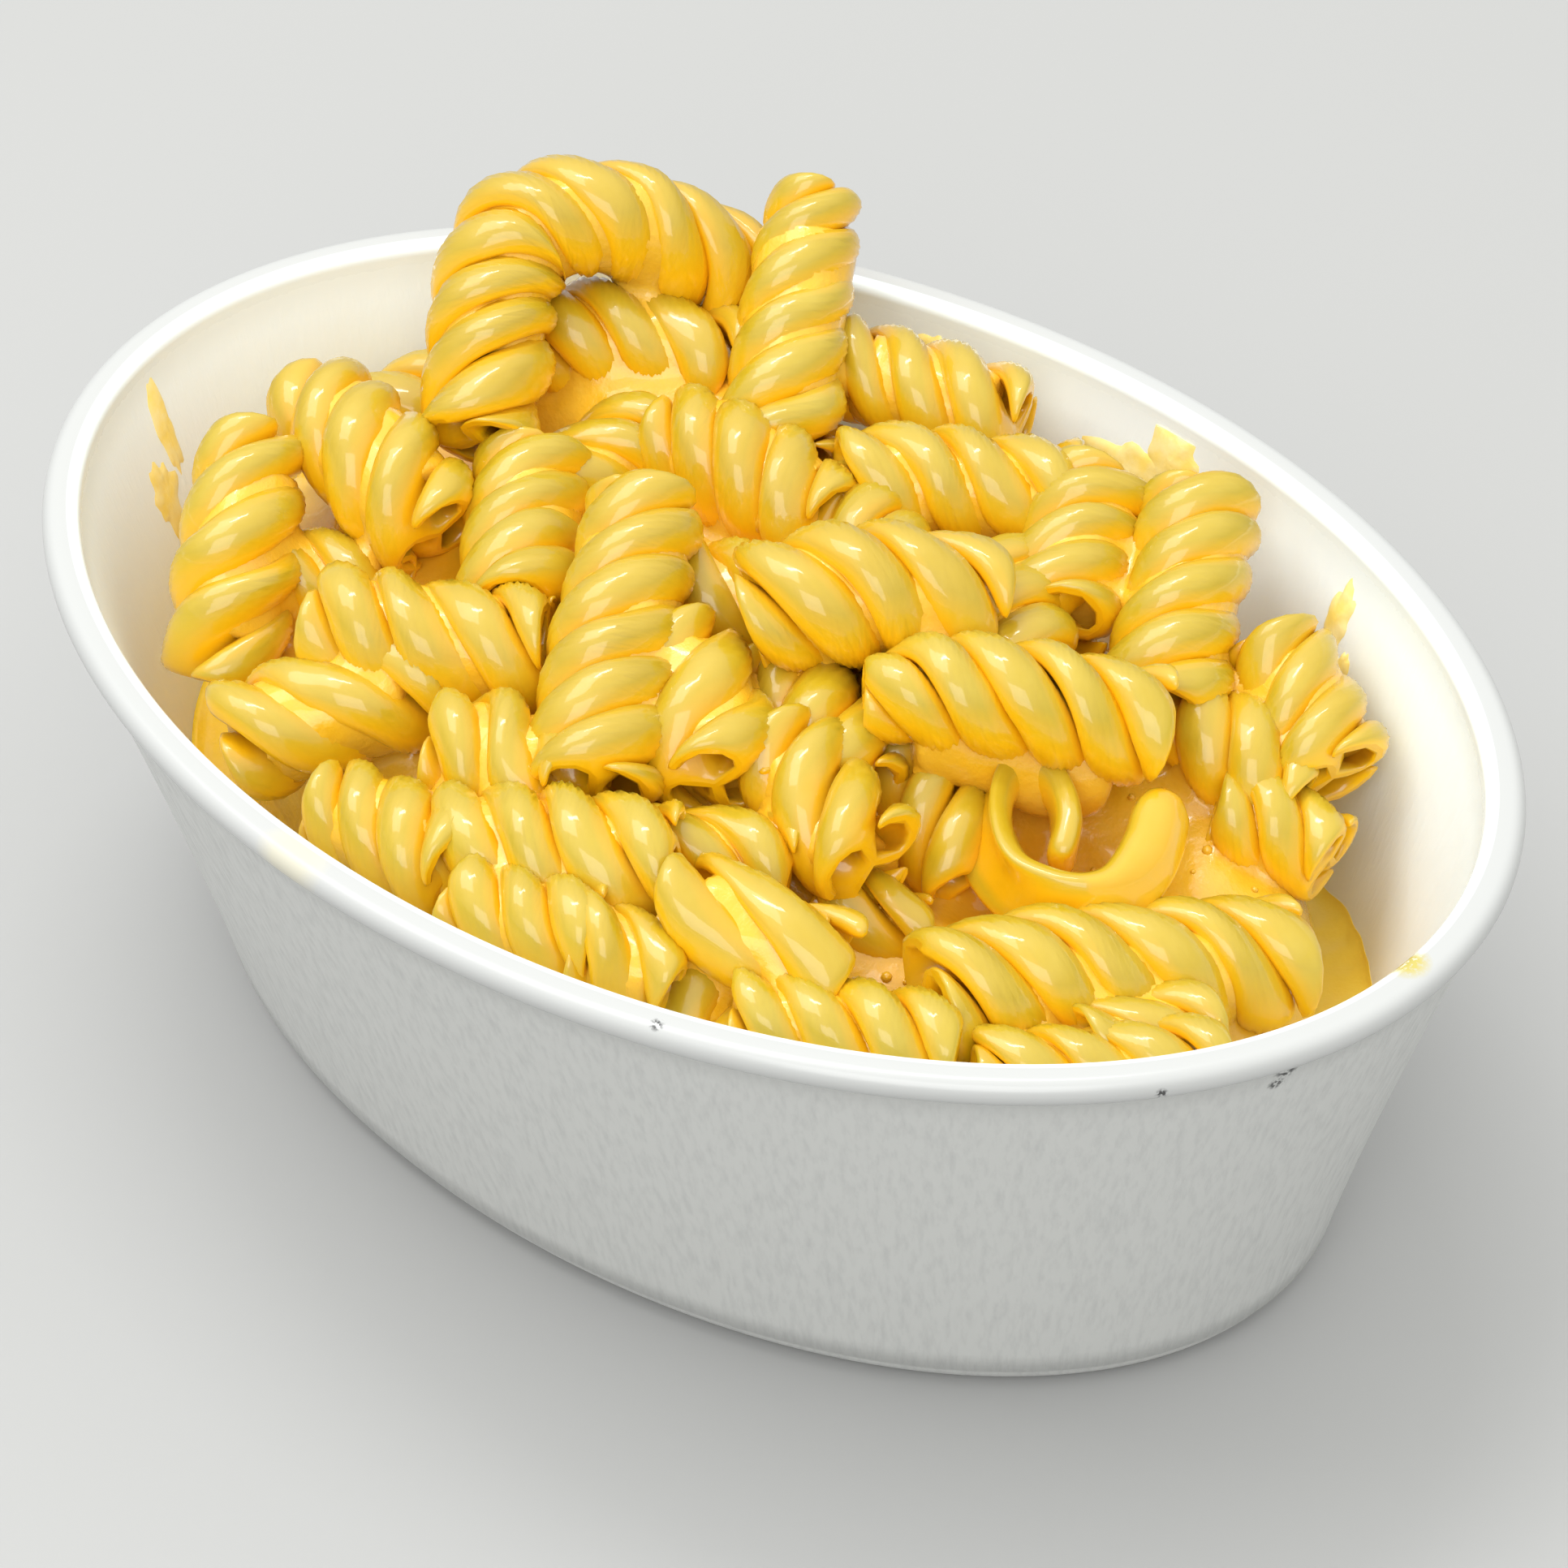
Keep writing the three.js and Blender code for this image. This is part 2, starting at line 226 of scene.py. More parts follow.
def melamine():
    material, tree, shader = new_material("white_melamine")
    where = object_place(tree)
    height = upward_part(tree, where)
    white = (0.55, 0.555, 0.54)
    scuffed = (0.485, 0.49, 0.48)
    rim_white_painted_shade = (0.47, 0.475, 0.47)
    inner_white_painted_light = (0.84, 0.94, 1.0)
    cream_and_painted_light = (0.90, 0.95, 0.95)
    streaks = add_noise(tree, where, 1.0, 4.0, (1500, 1500, 90))
    cloud = add_noise(tree, where, 55)
    on_wall = add_range(tree, height, wall_top, wall_top - 2 * MM)
    worn = add_math(tree, "MULTIPLY", add_range(tree, streaks, 0.45, 0.75), on_wall)
    colour = add_mix(tree, worn, white, scuffed)
    # Painted shade: the rim is painted greyer than the wall because it faces up into the light; it is also
    # glossier
    on_rim = add_range(tree, height, wall_top - 0.2 * MM, wall_top + 0.8 * MM)
    colour = add_mix(tree, on_rim, colour, rim_white_painted_shade)
    # Painted light: the inside is painted far lighter and bluer than the outside, as more light falls there
    # and the food tints it; lower down, in clouds, faint cream from steam and sauce, painted lighter still
    # against the shade
    inward = add_vector_math(tree, "MULTIPLY", {0: where, 1: (-1.0, -2.0, 0.0)})[0]
    turned = add_vector_math(tree, "DOT_PRODUCT", {0: facing(tree), 1: inward})["Value"]
    inside = add_range(tree, turned, 0.005, 0.02)
    colour = add_mix(tree, inside, colour, inner_white_painted_light)
    deep = add_range(tree, height, 48 * MM, 22 * MM)
    film = add_math(tree, "MULTIPLY", add_math(tree, "MULTIPLY", inside, deep),
                    add_range(tree, cloud, 0.25, 0.7, 0.4, 1.0))
    colour = add_mix(tree, film, colour, cream_and_painted_light)
    # Small dark chips and dashes on the rim: place and reach
    chips = [
        ((0.0278, -0.0457, 0.0500), 0.0007),
        ((0.0676, -0.0164, 0.0466), 0.0012),
        ((0.0670, -0.0167, 0.0450), 0.0009),
        ((0.0624, -0.0262, 0.0486), 0.0006),
        ((0.0500, -0.0375, 0.0470), 0.0006),
    ]
    chip_dark = (0.05, 0.05, 0.05)
    ragged = add_noise(tree, where, 2600, 2.0)
    for spot, reach in chips:
        chip = add_math(tree, "MULTIPLY", near_spot(tree, where, spot, reach),
                        add_range(tree, ragged, 0.42, 0.55))
        colour = add_mix(tree, chip, colour, chip_dark)
    # One faint yellow stain and one dab of sauce, also on the rim
    stain_spot = (-0.0085, -0.0496, 0.0498)
    stain_yellow = (0.75, 0.66, 0.36)
    stain = add_math(tree, "MULTIPLY", near_spot(tree, where, stain_spot, 0.004), 0.3)
    colour = add_mix(tree, stain, colour, stain_yellow)
    dab_spot = (0.0700, -0.0032, 0.0497)
    dab_yellow = (0.50, 0.42, 0.10)
    dab = add_math(tree, "MULTIPLY", near_spot(tree, where, dab_spot, 0.0021),
                   add_range(tree, ragged, 0.35, 0.5, 0.5, 1.0))
    colour = add_mix(tree, dab, colour, dab_yellow)
    satin = add_range(tree, streaks, 0.3, 0.8, 0.30, 0.52)
    rim_gloss = 0.22
    gloss = add_node(tree, "ShaderNodeMix", {0: on_rim, 2: satin, 3: rim_gloss}).outputs[0]
    feed(tree, shader, {"Base Color": colour, "Roughness": gloss,
                        "Normal": add_bump(tree, worn, 0.35, 0.06 * MM)})
    return material


dish = add_piece("melamine_dish", turned_mesh("melamine_dish", dish_profile(), DISH_SIDES))
dish.data.materials.append(melamine())
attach(dish, "root")
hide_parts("dish")

# ---- The spirals -----------------------------------------------------------------------------
# Cooked rotini: three thin fins, each curled over towards the next and wound right-handed round
# the middle. Each is extruded through one die and cut flat, then bends and slackens in cooking.

# at: middle, mm. path: knots of a bent one, mm. yaw, rise: its line, degrees. long, wide: mm.
# lead: mm for one full turn. turn: degrees it is rolled by. bow: mm its middle stands up.
# splay: radians that the fins curl at each end, less than 0 to open them. taper: how much
# thinner it starts.
BACK_LEFT = [
    dict(path=((-33.6, 1.4, 51.2), (-37.2, 7.2, 54.8), (-40.8, 12.6, 59), (-41.3, 18, 62.4),
               (-37.6, 23.6, 62.6), (-33.2, 28.6, 59), (-30, 33, 54)),
         at=(-38, 20, 58), wide=12.4, lead=15.5),
    dict(at=(-32, 22, 50), yaw=32, rise=-5, long=18, wide=12, lead=17, bow=1),
    dict(at=(-19, 30, 55), yaw=-61, rise=-32, long=27, wide=12, lead=16, bow=0, taper=0.35),
    dict(at=(-26, 9, 47), yaw=76, rise=0, long=15, wide=11, lead=17, bow=0),
]
BACK_RIGHT = [
    dict(at=(-8, 36, 48), yaw=15, rise=-9, long=19, wide=11.6, lead=18, bow=0),
    dict(at=(-13, 15, 48), yaw=-2, rise=-5, long=19, wide=12.4, lead=16, bow=1),
    dict(at=(3, 26, 48), yaw=36, rise=-4, long=22, wide=12, lead=17, bow=0),
    dict(at=(16, 27, 46), yaw=-69, rise=-11, long=17, wide=12, lead=14, bow=0),
    dict(at=(27, 28, 45), yaw=-65, rise=-18, long=22, wide=12, lead=15, bow=1),
    dict(at=(41, 27, 41), yaw=-31, rise=-20, long=14, wide=11.6, lead=15, bow=0),
]
LEFT_END = [
    dict(at=(-41, -5, 48), yaw=-17, rise=-3, long=23, wide=12.4, lead=18, bow=2),
    dict(at=(-45, -19, 44), yaw=-58, rise=-31, long=23, wide=12, lead=18, bow=2, turn=60),
    dict(at=(-37, -14, 42), yaw=25, rise=0, long=12, wide=10, lead=18, bow=0),
    dict(at=(-21, -19, 47), yaw=27, rise=0, long=21, wide=12.4, lead=17, bow=0),
    dict(at=(-25, -28, 42), yaw=54, rise=10, long=18, wide=12, lead=20, bow=1),
]
MIDDLE = [
    dict(at=(-23, -4, 48), yaw=-52, rise=-8, long=20, wide=12, lead=15, bow=0),
    dict(at=(-5, -12, 50), yaw=-59, rise=-17, long=31, wide=12.4, lead=16, bow=0),
    dict(at=(4, -12, 47), yaw=-38, rise=-11, long=16, wide=12, lead=22, bow=0),
    dict(at=(9, 5, 50), yaw=46, rise=-4, long=21, wide=13, lead=17, bow=2, splay=(-0.4, 0)),
    dict(at=(25, 5, 47), yaw=38, rise=-9, long=26, wide=12, lead=16, bow=1, taper=0.4),
    dict(at=(18, -12, 44), yaw=-22, rise=-5, long=16, wide=11.6, lead=19, bow=0),
    dict(at=(14, -21, 42), yaw=39, rise=-9, long=12, wide=9.4, lead=16, bow=0),
    dict(at=(22, -2, 39), yaw=-26, rise=-21, long=16, wide=10, lead=18, bow=0),
    dict(at=(10, -4, 42.5), yaw=-24, rise=-4, long=16, wide=11.6, lead=16, bow=1),
]
RIGHT_END = [
    dict(at=(39, 20, 39), yaw=-1, rise=-17, long=13, wide=10, lead=17, bow=0),
    dict(at=(45, 17, 36), yaw=14, rise=-11, long=11, wide=9.6, lead=15, bow=0),
    dict(at=(45, -8, 36.4), yaw=59, rise=-12, long=34, wide=12.4, lead=17, bow=1),
    dict(at=(51, -12, 36), yaw=59, rise=-10, long=12, wide=10, lead=16, bow=0),
    dict(at=(51, -18, 37), yaw=45, rise=-4, long=21, wide=9.4, lead=16, bow=0),
]
FRONT = [
    dict(at=(34, -30, 40), yaw=29, rise=-4, long=19, wide=10.4, lead=16, bow=0),
    dict(at=(25, -14, 37), yaw=17, rise=-14, long=9, wide=8, lead=20, bow=0),
    dict(at=(21, -33, 38), yaw=-37, rise=-13, long=10, wide=9, lead=24, bow=0),
    dict(at=(16, -36, 42), yaw=20, rise=-13, long=10, wide=10, lead=18, bow=0),
    dict(at=(23, -28, 43), yaw=17, rise=-13, long=15, wide=11, lead=34, bow=1, splay=(-0.5, -0.3)),
    dict(at=(7, -38, 43), yaw=17, rise=0, long=13, wide=10, lead=14, bow=0),
    dict(at=(-9, -37, 43), yaw=6, rise=0, long=15, wide=11.2, lead=14, bow=0),
    dict(at=(4, -31, 44), yaw=25, rise=4, long=22, wide=12.4, lead=16, bow=0),
    dict(at=(-6, -26, 45), yaw=10, rise=0, long=14, wide=12, lead=18, bow=0),
]
FAR_SIDE = [
    dict(at=(-44, 24, 40), yaw=35, rise=0, long=19, wide=12, lead=16, bow=1),
    dict(at=(-27, 32, 41), yaw=14, rise=4, long=17, wide=12, lead=18, bow=1),
    dict(at=(-55, 9, 37), yaw=70, rise=0, long=18, wide=12, lead=17, bow=1),
]
CORE_SLOPE = 0.09  # the heap falls by this much towards the right end
FILLERS = 7
FILLER_HALF_LENGTH = 55  # mm: the oval that the fillers lie in
FILLER_HALF_WIDTH = 36
FILLER_TOP = 44.5  # mm: height of one in the middle
FILLER_GAP = 10  # mm that it keeps from the middle of any other
LOOSE_LEAD = 17.5  # mm: spirals wound slacker than this opened up a little in cooking
FULL_WIDTH = 12.4  # mm across a spiral as the die makes it


def scatter(n):
    """A repeatable number from 0 to 1."""
    value = math.sin(n * 12.9898 + 4.1) * 43758.5453
    return value - math.floor(value)


def fillers(others, wanted):
    """Lower spirals that fill the gaps the others leave."""
    found = []
    for i in range(200):
        if len(found) == wanted:
            break
        around = scatter(i) * 2 * math.pi
        out = math.sqrt(scatter(i + 300)) * 0.88
        x = math.cos(around) * out * FILLER_HALF_LENGTH
        y = math.sin(around) * out * FILLER_HALF_WIDTH
        z = FILLER_TOP - 6 * out**4 + (y - x) * CORE_SLOPE
        spots = [p["at"] for p in others + found]
        if min(math.dist((x, y, z / 2), (a, b, c / 2)) for a, b, c in spots) < FILLER_GAP:
            continue
        yaw = math.degrees(around) + 90 + (scatter(i + 600) - 0.5) * 60
        long = 15 + scatter(i + 900) * 5
        found.append(dict(at=(x, y, z), yaw=yaw, rise=0, long=long, wide=11.6, lead=17, bow=1))
    return found


placed = BACK_LEFT + BACK_RIGHT + LEFT_END + MIDDLE + RIGHT_END + FRONT + FAR_SIDE
kept_clear = [dict(at=spot) for spot in ((32, 0, 41), (42, 4, 40), (-37, 7, 50))]
spirals = placed + fillers(placed + kept_clear, FILLERS)


def smooth_path(knots, share):
    """A point of the curve that runs through all the knots (Catmull-Rom)."""
    run = share * (len(knots) - 1)
    i = min(int(run), len(knots) - 2)
    t = run - i
    a, b, c, d = (Vector(knots[min(max(k, 0), len(knots) - 1)]) for k in range(i - 1, i + 3))
    return 0.5 * (2 * b + (c - a) * t + (2 * a - 5 * b + 4 * c - d) * t * t + (3 * b - a - 3 * c + d) * t**3)


def path_length(knots):
    points = [smooth_path(knots, i / 40) for i in range(41)]
    return sum((b - a).length for a, b in zip(points, points[1:]))


def spiral_line(piece, number, shares):
    """The middle line of one spiral, with a slight sideways bend of its own."""
    if "path" in piece:
        return [smooth_path(piece["path"], share) * MM for share in shares]
    yaw, rise = math.radians(piece["yaw"]), math.radians(piece["rise"])
    along = Vector((math.cos(yaw) * math.cos(rise), math.sin(yaw) * math.cos(rise), math.sin(rise)))
    side = Vector((-math.sin(yaw), math.cos(yaw), 0))
    over = along.cross(side)
    sway = (scatter(number + 40) - 0.5) * 1.6
    line = []
    for share in shares:
        reach = share - 0.5
        lift = 1 - 4 * reach * reach
        line.append((Vector(piece["at"]) + along * reach * piece["long"]
                     + over * piece["bow"] * lift + side * sway * (lift - 0.5)) * MM)
    return line


def heading(line, i):
    """The way a line runs at one of its points."""
    return (line[min(i + 1, len(line) - 1)] - line[max(i - 1, 0)]).normalized()


CUT_ROUND = 1.0  # mm over which a cut edge is rounded off
CUT_STEPS = (0, 0.12, 0.34, 0.65)
TURN_STEP = 13  # degrees of winding from one section to the next
SPLAY_LENGTH = 7  # mm from a cut end over which the fins open
FIN_HALF = 1.0  # mm, half the thickness of a fin


def mark_points(mesh, marks):
    """Gives each point of a mesh its own numbers, or vectors where there are three for each."""
    for label, values in marks.items():
        vectors = len(values) > len(mesh.vertices)
        made = mesh.attributes.new(label, "FLOAT_VECTOR" if vectors else "FLOAT", "POINT")
        made.data.foreach_set("vector" if vectors else "value", values)


def winding_guide(name, pieces):
    """One line for each spiral. Each point carries how far it is wound, how wide the spiral is,
    how far its fins have uncurled, and how thin they are where a cut end is rounded off."""
    points, edges = [], []
    marks = {label: [] for label in ("wound", "girth", "tone", "uncurl", "thin", "middle", "run")}
    for number, piece in pieces:
        long = piece["long"] if "long" in piece else path_length(piece["path"])
        steps = math.ceil(long / piece["lead"] * 360 / TURN_STEP)
        inner = [CUT_ROUND + (long - 2 * CUT_ROUND) * i / steps for i in range(steps + 1)]
        reached = list(CUT_STEPS) + inner + [long - d for d in reversed(CUT_STEPS)]
        shares = [d / long for d in reached]
        line = spiral_line(piece, number, shares)
        splay = piece.get("splay", (-0.15 * scatter(number + 5), -0.15 * scatter(number + 6)))
        start = len(points)
        for i, (share, point) in enumerate(zip(shares, line)):
            from_cut = min(reached[i], long - reached[i])
            swell = 1 + 0.05 * math.sin(share * 6 + number) - piece.get("taper", 0.05) * (1 - share) ** 4
            round_off = math.sqrt(max(0, 1 - max(0, 1 - from_cut / CUT_ROUND) ** 2))
            first = max(0, 1 - reached[i] / SPLAY_LENGTH) ** 1.3
            last = max(0, 1 - (long - reached[i]) / SPLAY_LENGTH) ** 1.3
            waver = 0.12 * math.sin(share * long * 0.55 + number * 2.1)
            wound = number * 47 + piece.get("turn", 0) + share * long / piece["lead"] * 360
            points.append(point)
            marks["middle"] += [*point]
            marks["run"] += [*heading(line, i)]
            marks["wound"].append(math.radians(wound))
            marks["girth"].append(piece["wide"] / FULL_WIDTH * swell)
            marks["tone"].append(scatter(number + 77))
            marks["uncurl"].append(splay[0] * first + splay[1] * last + waver)
            marks["thin"].append(1 - (0.25 + 0.6 * round_off) / FIN_HALF)
        edges += [(i, i + 1) for i in range(start, len(points) - 1)]
    mesh = bpy.data.meshes.new(name)
    mesh.from_pydata(points, edges, [])
    mark_points(mesh, marks)
    return mesh


# Along a fin, from 0 in the middle to 1 at its edge: how far out it is, mm, and its share of the wrap
FIN_REACH = [(0, 0), (0.15, 1.7), (0.3, 3.2), (0.5, 4.6), (0.7, 5.2), (0.85, 5.15), (1, 4.6)]
FIN_TURN = [(0, 0), (0.15, 0.02), (0.3, 0.1), (0.5, 0.31), (0.7, 0.59), (0.85, 0.8), (1, 1)]
TIGHT_WRAP = 124  # degrees that a fin's edge curls round; the next fin starts at 120
SLACK_WRAP = 104
TIP_LEAN = 104  # degrees: which way a fin's rounded edge faces, from its last point
CROTCH_REACH = 1.15  # mm from the middle to where two fins meet
CROTCH_TURN = 62  # degrees


def read_off(table, share):
    for (a, x), (b, y) in zip(table, table[1:]):
        if share <= b:
            return x + (y - x) * (share - a) / (b - a)
    return table[-1][1]


def fin_outline(wrap):
    """The die's opening, in mm: three fins that curl over towards one another. Each point has
    its place, the nearest place in the middle of the fin, its share of the fin, and how far it
    stands out of the folds."""
    outline = []

    def middle(share, fin):
        turn = math.radians(read_off(FIN_TURN, share) * wrap + 120 * fin)
        return read_off(FIN_REACH, share) * Vector((math.cos(turn), math.sin(turn)))

    def edge(share, fin, off):
        run = (middle(min(share + 0.02, 1), fin) - middle(share - 0.02, fin)).normalized()
        return middle(share, fin) + Vector((run.y, -run.x)) * off

    for fin in range(3):
        for share in (0.16, 0.27, 0.38, 0.48, 0.58, 0.68, 0.78, 0.88, 0.96):
            stands = max(1 - ((share - 0.73) / 0.3) ** 2, 0)
            outline.append((edge(share, fin, FIN_HALF), middle(share, fin), share, stands))
        for swing, stands in ((-50, 0.4), (0, 0.1), (50, 0)):
            turn = math.radians(wrap + 120 * fin + TIP_LEAN + swing)
            tip = middle(1, fin) + FIN_HALF * Vector((math.cos(turn), math.sin(turn)))
            outline.append((tip, middle(0.96, fin), 1, stands))
        for share in (0.9, 0.74, 0.58, 0.44, 0.32):
            outline.append((edge(share, fin, -FIN_HALF), middle(share, fin), share, 0))
        crotch = math.radians(120 * fin + CROTCH_TURN)
        outline.append((CROTCH_REACH * Vector((math.cos(crotch), math.sin(crotch))), Vector((0, 0)), 0, 0))
    return outline


def die_mesh(wrap):
    outline = fin_outline(wrap)
    mesh = bpy.data.meshes.new("pasta_die")
    count = len(outline)
    mesh.from_pydata([(place.x * MM, place.y * MM, 0) for place, *_ in outline],
                     [(i, (i + 1) % count) for i in range(count)], [])
    mark_points(mesh, {
        "crest": [stands for *_, stands in outline],
        "curl": [share for _, _, share, _ in outline],
        "to_middle_turn": [place.angle_signed(mid, 0.0) * -1 for place, mid, *_ in outline],
        "to_middle_reach": [mid.length / place.length for place, mid, *_ in outline],
    })
    return mesh


def new_tree(name, inputs, output):
    """A geometry tree with named inputs, each with its kind of socket, and one output."""
    tree = bpy.data.node_groups.new(name, "GeometryNodeTree")
    for label, kind in inputs:
        tree.interface.new_socket(label, in_out="INPUT", socket_type="NodeSocket" + kind)
    tree.interface.new_socket(output, in_out="OUTPUT", socket_type="NodeSocketGeometry")
    return tree, tree.nodes.new("NodeGroupInput").outputs


def end_tree(tree, shape, material):
    """Every tree ends in real faces with their material."""
    real = add_node(tree, "GeometryNodeRealizeInstances", {"Geometry": shape}).outputs[0]
    done = add_node(tree, "GeometryNodeSetMaterial", {"Geometry": real, "Material": material})
    tree.links.new(done.outputs[0], tree.nodes.new("NodeGroupOutput").inputs[0])
    return tree


def winding_tree():
    """Sweeps the die along each guide line, turning as it goes. The fins are then uncurled and
    their cut ends rounded off, by turning and drawing in each point about the line."""
    inputs = (("Guides", "Geometry"), ("Die", "Object"), ("Unevenness", "Float"),
              ("Unevenness Scale", "Float"), ("Pasta", "Material"))
    tree, given = new_tree("wound_pasta", inputs, "Spirals")
    mark = {}
    for label in ("wound", "girth", "uncurl", "thin", "curl", "to_middle_turn", "to_middle_reach",
                  "middle", "run"):
        kind = "FLOAT_VECTOR" if label in ("middle", "run") else "FLOAT"
        made = add_node(tree, "GeometryNodeInputNamedAttribute", {"Name": label}, data_type=kind)
        mark[label] = made.outputs[0]
    line = add_node(tree, "GeometryNodeMeshToCurve", {"Mesh": given["Guides"]}).outputs[0]
    tilted = add_node(tree, "GeometryNodeSetCurveTilt", {"Curve": line, "Tilt": mark["wound"]})
    die = add_node(tree, "GeometryNodeObjectInfo", {"Object": given["Die"]}).outputs["Geometry"]
    swept = add_node(tree, "GeometryNodeCurveToMesh", {
        "Curve": tilted.outputs[0],
        "Profile Curve": add_node(tree, "GeometryNodeMeshToCurve", {"Mesh": die}).outputs[0],
        "Scale": mark["girth"],
        "Fill Caps": True,
    })
    place = tree.nodes.new("GeometryNodeInputPosition").outputs[0]
    arm = add_vector_math(tree, "SUBTRACT", {0: place, 1: mark["middle"]})[0]
    angle = add_math(tree, "MULTIPLY", mark["uncurl"], mark["curl"])
    turned = add_node(tree, "ShaderNodeVectorRotate", {"Vector": arm, "Axis": mark["run"], "Angle": angle})
    spread = add_math(tree, "MULTIPLY_ADD", angle, -0.16, 1.0)
    opened = add_vector_math(tree, "SCALE", {0: turned.outputs[0], "Scale": spread})[0]
    to_middle = add_node(tree, "ShaderNodeVectorRotate", {
        "Vector": opened, "Axis": mark["run"], "Angle": mark["to_middle_turn"]}).outputs[0]
    drawn_in = add_vector_math(tree, "SCALE", {0: to_middle, "Scale": mark["to_middle_reach"]})[0]
    thinned = add_node(tree, "ShaderNodeMix", {0: mark["thin"], 4: opened, 5: drawn_in}, data_type="VECTOR")
    settled = add_vector_math(tree, "ADD", {0: thinned.outputs[1], 1: mark["middle"]})[0]
    cloud = add_node(tree, "ShaderNodeTexNoise", {
        "Detail": 2.0, "Roughness": 0.3, "Scale": given["Unevenness Scale"]}).outputs["Color"]
    centred = add_vector_math(tree, "SUBTRACT", {0: cloud, 1: (0.5, 0.5, 0.5)})[0]
    uneven = add_vector_math(tree, "SCALE", {0: centred, "Scale": given["Unevenness"]})[0]
    moved = add_node(tree, "GeometryNodeSetPosition", {
        "Geometry": swept.outputs[0], "Position": settled, "Offset": uneven})
    return end_tree(tree, moved.outputs[0], given["Pasta"])


def run_tree(name, mesh, tree, inputs):
    """Runs a geometry tree on a mesh once and keeps the result as a plain mesh piece."""
    maker = add_piece(name + "_maker", mesh)
    modifier = maker.modifiers.new("maker", "NODES")
    modifier.node_group = tree
    for socket in tree.interface.items_tree:
        if socket.name in inputs:
            modifier[socket.identifier] = inputs[socket.name]
    bpy.context.view_layer.update()
    seen = maker.evaluated_get(bpy.context.evaluated_depsgraph_get())
    made = bpy.data.meshes.new_from_object(seen)
    made.name = name
    bpy.data.objects.remove(maker)
    made.shade_smooth()
    return add_piece(name, made)


def pasta_material():
    """Cooked semolina in a thin coat of cheese: golden, paler on the crests, with amber painted into the
    folds as painted shade.
    """
    material, tree, shader = new_material("cheese_coated_pasta")
    where = object_place(tree)
    crest = add_node(tree, "ShaderNodeAttribute", {}, attribute_name="crest").outputs["Fac"]
    tone = add_node(tree, "ShaderNodeAttribute", {}, attribute_name="tone").outputs["Fac"]
    cloud = add_noise(tree, where, 160)
    fine = add_noise(tree, where, 900)
    # Painted shade: the folds are painted a deep orange for the orange shade inside them
    fold_painted_shade = (0.72, 0.375, 0.001)
    body = (0.48, 0.335, 0.010)
    glow = (1.0, 0.57, 0.004)
    pale = (0.53, 0.405, 0.045)
    amber = (0.53, 0.32, 0.009)
    colour = add_mix(tree, add_range(tree, crest, 0.0, 0.8), fold_painted_shade, body)
    lighter = add_math(tree, "MULTIPLY", add_range(tree, cloud, 0.4, 0.75), 0.55)
    colour = add_mix(tree, lighter, colour, pale)
    own = add_range(tree, tone, 0.0, 1.0, 0.0, 0.3)
    colour = add_mix(tree, own, colour, amber)
    # Light passes through the fins, so their undersides are a brighter orange
    under = add_range(tree, upward_part(tree, facing(tree)), 0.6, -0.1, 0.0, 0.95)
    colour = add_mix(tree, under, colour, glow)
    bumps = add_noise(tree, where, 420, 4.0)
    feed(tree, shader, {
        "Base Color": colour,
        "Roughness": add_range(tree, fine, 0.3, 0.7, 0.3, 0.45),
        "Specular IOR Level": 0.35,
        "Coat Weight": 0.85,
        "Coat Roughness": 0.06,
        "Normal": add_bump(tree, bumps, 0.2, 0.3 * MM),
    })
    return material


pasta = pasta_material()
numbered = list(enumerate(spirals))
tight = [(n, p) for n, p in numbered if p["lead"] <= LOOSE_LEAD]
slack = [(n, p) for n, p in numbered if p["lead"] > LOOSE_LEAD]
winding = winding_tree()
for name, wrap, kept in (("rotini_tight", TIGHT_WRAP, tight), ("rotini_slack", SLACK_WRAP, slack)):
    die = add_piece("pasta_die", die_mesh(wrap))
    wanted = {"Die": die, "Unevenness": 1.4 * MM, "Unevenness Scale": 110.0, "Pasta": pasta}
    rotini = run_tree(name, winding_guide(name, kept), winding, wanted)
    bpy.data.objects.remove(die)
    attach(rotini, "root")
    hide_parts("rotini_heap")

# ---- The torn curl ---------------------------------------------------------------------------
# One fin that tore off its spiral near the right end. It stands in the sauce, bent round like a
# heart, with its left end rolled in and its right end leaning open.

# Knots along it, in mm: its top edge and its lower edge, and how far its middle bulges outwards.
CURL_KNOTS = [
    ((36.0, -2.6, 42.0), (35.4, -1.8, 38.0), 0.2), ((34.2, 0.8, 43.4), (33.6, 2.0, 38.0), 0.2),
    ((30.7, 3.9, 44.2), (30.2, 5.4, 38.0), 0.5), ((27.2, 4.2, 44.4), (24.8, 4.8, 38.0), 1.0),
    ((27.2, 1.0, 44.4), (24.3, -0.8, 38.0), 1.4), ((30.2, -4.0, 44.2), (28.0, -5.4, 37.6), 1.6),
    ((34.2, -6.9, 44.0), (33.8, -8.0, 37.4), 1.4), ((38.4, -6.4, 43.8), (40.0, -7.2, 37.4), 0.6),
    ((41.0, -3.2, 43.6), (42.8, -3.6, 37.6), -0.6), ((40.0, 1.6, 43.8), (43.0, 1.6, 38.0), -1.4),
    ((38.4, 5.6, 44.0), (41.9, 6.2, 38.6), -1.2), ((38.6, 8.4, 43.6), (40.4, 9.6, 40.0), -0.4),
]
CURL_THICK = 2.6  # mm
CURL_STEPS = 80
CURL_SIDES = 20
CURL_TONE = 0.8


def tube_faces(rings, around):
    """Faces between rings of points, with a cap on each end."""
    faces = []
    for start in range(0, (rings - 1) * around, around):
        for k in range(around):
            a, b = start + k, start + (k + 1) % around
            faces.append((a, b, b + around, a + around))
    faces.append(tuple(reversed(range(around))))
    faces.append(tuple(range((rings - 1) * around, rings * around)))
    return faces


